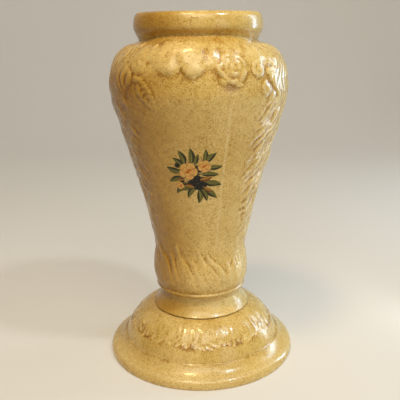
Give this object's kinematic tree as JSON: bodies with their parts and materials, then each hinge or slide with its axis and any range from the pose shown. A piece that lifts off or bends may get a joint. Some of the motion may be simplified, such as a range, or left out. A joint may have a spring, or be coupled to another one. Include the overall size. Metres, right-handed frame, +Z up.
{
  "type": "pedestal vase",
  "caption": "Baluster vase in speckled honey glaze with moulded leaf relief and a rolled lip, standing on a separate domed pedestal.",
  "frame": {"origin": "centre of the foot's resting face, on the floor", "axes": "+Z up along the vase's axis, -Y towards the front with the printed posy, +X to the viewer's right"},
  "size_m": [0.225, 0.225, 0.4],
  "materials": {
    "pedestal_glaze": "high gloss honey glaze over cream, brown speckle, amber pooled in the relief",
    "felt": "pressed brown felt",
    "vase_glaze": "high gloss honey glaze over cream, brown speckle, amber pooled in the relief",
    "print": "printed transfer under gloss, orange blossoms with dark green leaves and black berries"
  },
  "bodies": {
    "pedestal": {"pedestal_base": "pedestal_glaze"},
    "bed": {"bedding_ring": "felt"},
    "vase": {"vase_body": "vase_glaze", "transfer_print": "print"}
  },
  "joints": [
    {"name": "vase_turn", "type": "hinge", "parent": "pedestal", "child": "bed", "pos_m": [0, 0, 0.0585], "axis": [0, 0, 1], "continuous": true},
    {"name": "vase_lift", "type": "slide", "parent": "bed", "child": "vase", "axis": [0, 0, 1], "range_m": [0, 0.06]}
  ]
}
